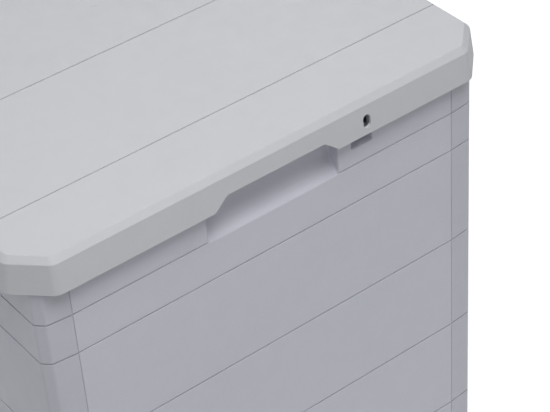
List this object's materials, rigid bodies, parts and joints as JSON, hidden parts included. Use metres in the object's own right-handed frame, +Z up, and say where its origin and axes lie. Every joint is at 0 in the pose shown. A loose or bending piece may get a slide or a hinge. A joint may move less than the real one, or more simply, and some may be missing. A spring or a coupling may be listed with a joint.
{
  "type": "garden storage box",
  "caption": "Upright plastic garden storage box with plank-look walls, an overhanging hinged lid, a finger pocket in front and a slot for a padlock.",
  "frame": {"origin": "on the floor, under the middle of the lid", "axes": "+Z up; -Y towards the front, which has the finger pocket; +X towards the side of the padlock slot; the hinge line runs along X at the rear"},
  "size_m": [0.6136, 0.534, 0.58],
  "materials": {
    "wall_plastic": "fine matt grain",
    "lid_plastic": "fine matt grain",
    "base_plastic": "smooth matt",
    "hinge_plastic": "smooth satin",
    "zinc_steel": "bright zinc"
  },
  "bodies": {
    "box": {"front_panel": "wall_plastic", "rear_panel": "wall_plastic", "left_end_panel": "wall_plastic", "right_end_panel": "wall_plastic", "base_panel": "base_plastic", "base_screws": "zinc_steel", "front_left_corner_screws": "zinc_steel", "rear_left_corner_screws": "zinc_steel", "front_right_corner_screws": "zinc_steel", "rear_right_corner_screws": "zinc_steel", "left_hinge_bracket": "hinge_plastic", "left_hinge_pin": "zinc_steel", "left_hinge_pin_clip": "zinc_steel", "left_bracket_screws": "zinc_steel", "right_hinge_bracket": "hinge_plastic", "right_hinge_pin": "zinc_steel", "right_hinge_pin_clip": "zinc_steel", "right_bracket_screws": "zinc_steel"},
    "lid": {"lid": "lid_plastic", "left_hinge_arm": "hinge_plastic", "left_arm_screws": "zinc_steel", "right_hinge_arm": "hinge_plastic", "right_arm_screws": "zinc_steel"}
  },
  "joints": [
    {"name": "lid_hinge", "type": "hinge", "parent": "box", "child": "lid", "pos_m": [0, 0.259, 0.531], "axis": [-1, 0, 0], "range_deg": [0, 100]}
  ]
}
